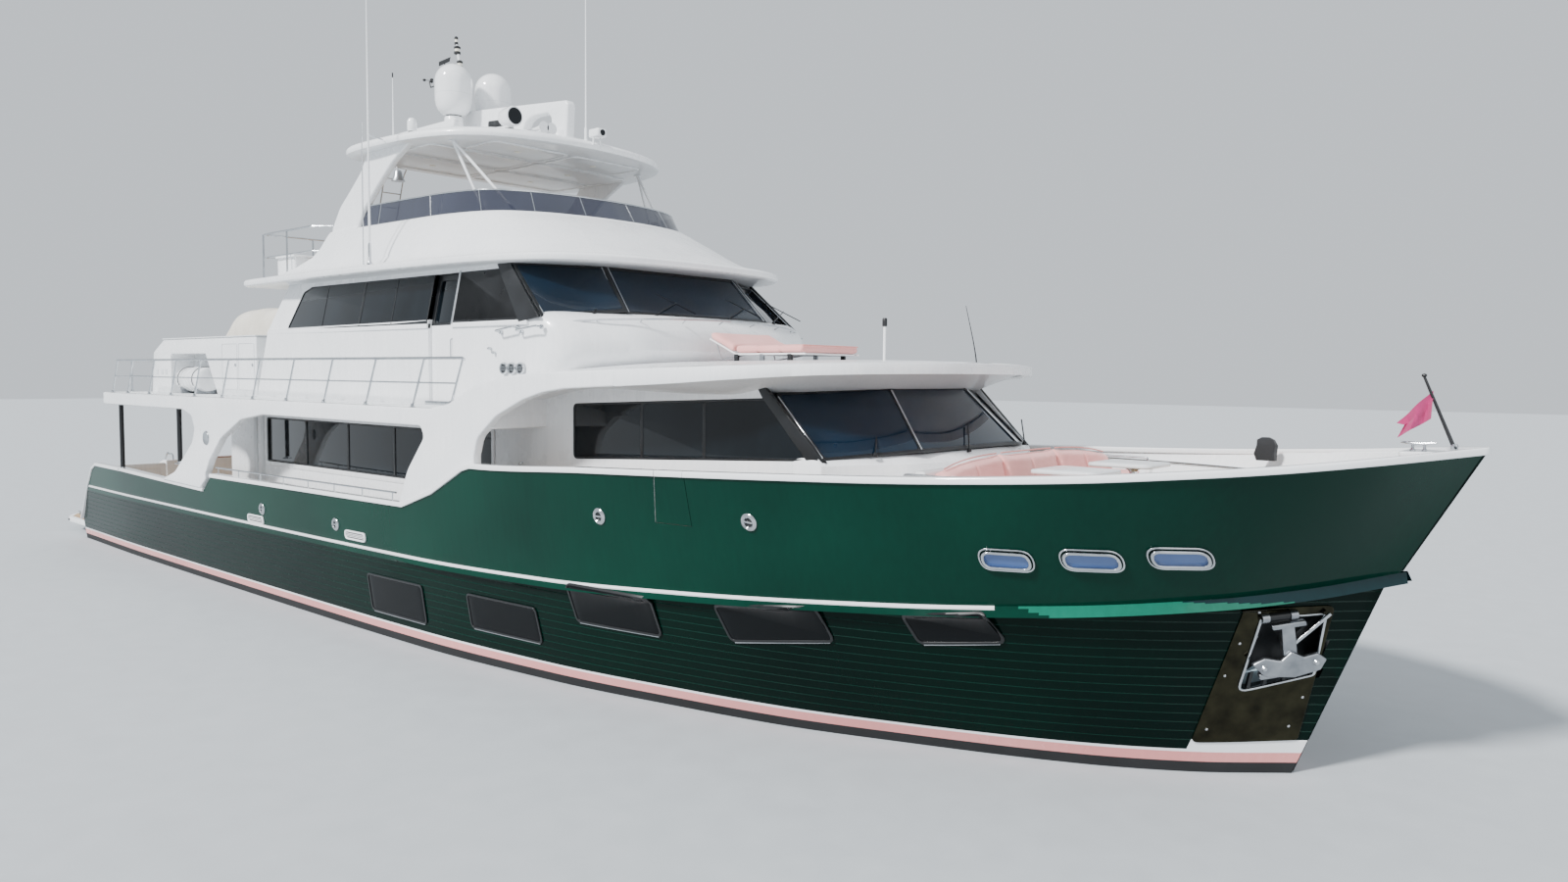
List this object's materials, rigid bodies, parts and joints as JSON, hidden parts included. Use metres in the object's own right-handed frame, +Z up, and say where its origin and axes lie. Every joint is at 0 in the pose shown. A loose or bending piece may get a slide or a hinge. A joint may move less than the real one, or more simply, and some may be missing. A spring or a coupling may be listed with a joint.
{
  "type": "motor yacht",
  "caption": "Raised-pilothouse motor yacht with covered side decks, flybridge hardtop, screws, rudders, sliding doors, deck gates and a slewing davit.",
  "frame": {"origin": "on the waterline, amidships, on the centreline", "axes": "+X forward to the bow, +Y to port, +Z up"},
  "size_m": [30, 7.25, 13.21],
  "materials": {
    "gelcoat_green": "high gloss dark green yacht paint over the hull",
    "gelcoat_white": "glossy white gelcoat",
    "tinted_glass": "dark tinted glazing",
    "stainless": "polished stainless steel",
    "bronze": "cast bronze, dull",
    "teak": "laid teak decking",
    "cushion": "salmon pink outdoor fabric",
    "machinery": "grey machinery paint",
    "canvas": "pale woven canvas"
  },
  "bodies": {
    "yacht": {"hull": "gelcoat_green", "keel": "gelcoat_green", "bulwark_starboard": "gelcoat_green", "bulwark_port": "gelcoat_green", "anchor_starboard": "stainless", "anchor_port": "stainless", "boat_deck_rail_starboard": "stainless", "boat_deck_rail_port": "stainless", "boat_deck_aft_rail": "stainless", "main_deck": "teak", "foredeck": "teak", "swim_platform": "teak", "engine_starboard": "machinery", "engine_port": "machinery", "saloon_window_starboard": "tinted_glass", "saloon_window_port": "tinted_glass", "fore_glass": "tinted_glass", "pilothouse_window_starboard": "tinted_glass", "pilothouse_window_port": "tinted_glass", "pilothouse_windscreen": "tinted_glass", "fly_windscreen": "tinted_glass", "foredeck_sofa": "cushion", "sunpads": "cushion", "canvas_cover": "canvas", "transom": "gelcoat_white", "boat_deck": "gelcoat_white", "fore_roof": "gelcoat_white", "saloon_aft_bulkhead": "gelcoat_white", "deckhouse_side_starboard": "gelcoat_white", "deckhouse_side_port": "gelcoat_white", "fore_front": "gelcoat_white", "deck_locker": "gelcoat_white", "life_raft": "gelcoat_white", "davit_pedestal": "gelcoat_white", "pilothouse_side_starboard": "gelcoat_white", "pilothouse_side_port": "gelcoat_white", "pilothouse_front": "gelcoat_white", "pilothouse_aft_bulkhead": "gelcoat_white", "fly_deck": "gelcoat_white", "fly_coaming": "gelcoat_white", "hardtop": "gelcoat_white", "foredeck_lounge": "gelcoat_white"},
    "propeller_starboard": {"propeller_starboard": "bronze"},
    "rudder_starboard": {"rudder_starboard": "bronze"},
    "saloon_side_door_starboard": {"saloon_side_door_starboard": "tinted_glass"},
    "saloon_aft_door_starboard": {"saloon_aft_door_starboard": "tinted_glass"},
    "pilothouse_door_starboard": {"pilothouse_door_starboard": "tinted_glass"},
    "stern_gate_starboard": {"stern_gate_starboard": "gelcoat_white"},
    "boarding_gate_starboard": {"boarding_gate_starboard": "gelcoat_green"},
    "propeller_port": {"propeller_port": "bronze"},
    "rudder_port": {"rudder_port": "bronze"},
    "saloon_side_door_port": {"saloon_side_door_port": "tinted_glass"},
    "saloon_aft_door_port": {"saloon_aft_door_port": "tinted_glass"},
    "pilothouse_door_port": {"pilothouse_door_port": "tinted_glass"},
    "stern_gate_port": {"stern_gate_port": "gelcoat_white"},
    "boarding_gate_port": {"boarding_gate_port": "gelcoat_green"},
    "sky_lounge_door": {"sky_lounge_door": "tinted_glass"},
    "davit_head": {"davit_head": "gelcoat_white"},
    "davit_boom": {"davit_boom": "gelcoat_white"},
    "radar_scanner": {"radar_scanner": "gelcoat_white"}
  },
  "joints": [
    {"name": "propeller_spin_starboard", "type": "hinge", "parent": "yacht", "child": "propeller_starboard", "pos_m": [-9.9, -1.35, -1.33], "axis": [0.9938, 0, 0.1109], "continuous": true},
    {"name": "rudder_turn_starboard", "type": "hinge", "parent": "yacht", "child": "rudder_starboard", "pos_m": [-11, -1.35, -1], "axis": [0, 0, 1], "range_deg": [-35, 35]},
    {"name": "side_door_slide_starboard", "type": "slide", "parent": "yacht", "child": "saloon_side_door_starboard", "axis": [1, 0, 0], "range_m": [0, 0.8]},
    {"name": "aft_door_slide_starboard", "type": "slide", "parent": "yacht", "child": "saloon_aft_door_starboard", "axis": [0, -1, 0], "range_m": [0, 1.1]},
    {"name": "pilothouse_door_slide_starboard", "type": "slide", "parent": "yacht", "child": "pilothouse_door_starboard", "axis": [-1, 0, 0], "range_m": [0, 0.68]},
    {"name": "stern_gate_swing_starboard", "type": "hinge", "parent": "yacht", "child": "stern_gate_starboard", "pos_m": [-10.895, -1.906, 1.5], "axis": [0, 0, 1], "range_deg": [0, 90]},
    {"name": "boarding_gate_swing_starboard", "type": "hinge", "parent": "yacht", "child": "boarding_gate_starboard", "pos_m": [8.303, -3.225, 2.6], "axis": [0, 0, 1], "range_deg": [-90, 0]},
    {"name": "propeller_spin_port", "type": "hinge", "parent": "yacht", "child": "propeller_port", "pos_m": [-9.9, 1.35, -1.33], "axis": [0.9938, 0, 0.1109], "continuous": true},
    {"name": "rudder_turn_port", "type": "hinge", "parent": "yacht", "child": "rudder_port", "pos_m": [-11, 1.35, -1], "axis": [0, 0, 1], "range_deg": [-35, 35]},
    {"name": "side_door_slide_port", "type": "slide", "parent": "yacht", "child": "saloon_side_door_port", "axis": [1, 0, 0], "range_m": [0, 0.8]},
    {"name": "aft_door_slide_port", "type": "slide", "parent": "yacht", "child": "saloon_aft_door_port", "axis": [0, 1, 0], "range_m": [0, 1.1]},
    {"name": "pilothouse_door_slide_port", "type": "slide", "parent": "yacht", "child": "pilothouse_door_port", "axis": [-1, 0, 0], "range_m": [0, 0.68]},
    {"name": "stern_gate_swing_port", "type": "hinge", "parent": "yacht", "child": "stern_gate_port", "pos_m": [-10.895, 1.906, 1.5], "axis": [0, 0, 1], "range_deg": [-90, 0]},
    {"name": "boarding_gate_swing_port", "type": "hinge", "parent": "yacht", "child": "boarding_gate_port", "pos_m": [8.303, 3.225, 2.6], "axis": [0, 0, 1], "range_deg": [0, 90]},
    {"name": "sky_lounge_door_slide", "type": "slide", "parent": "yacht", "child": "sky_lounge_door", "axis": [0, -1, 0], "range_m": [0, 1.25]},
    {"name": "davit_slew", "type": "hinge", "parent": "yacht", "child": "davit_head", "pos_m": [-6.6, 1.35, 4.68], "axis": [0, 0, 1], "range_deg": [-100, 0]},
    {"name": "davit_luff", "type": "hinge", "parent": "davit_head", "child": "davit_boom", "pos_m": [-6.6, 1.35, 5], "axis": [0, 1, 0], "range_deg": [0, 45]},
    {"name": "radar_spin", "type": "hinge", "parent": "yacht", "child": "radar_scanner", "pos_m": [-0.2, -1.4, 8.03], "axis": [0, 0, 1], "continuous": true}
  ]
}
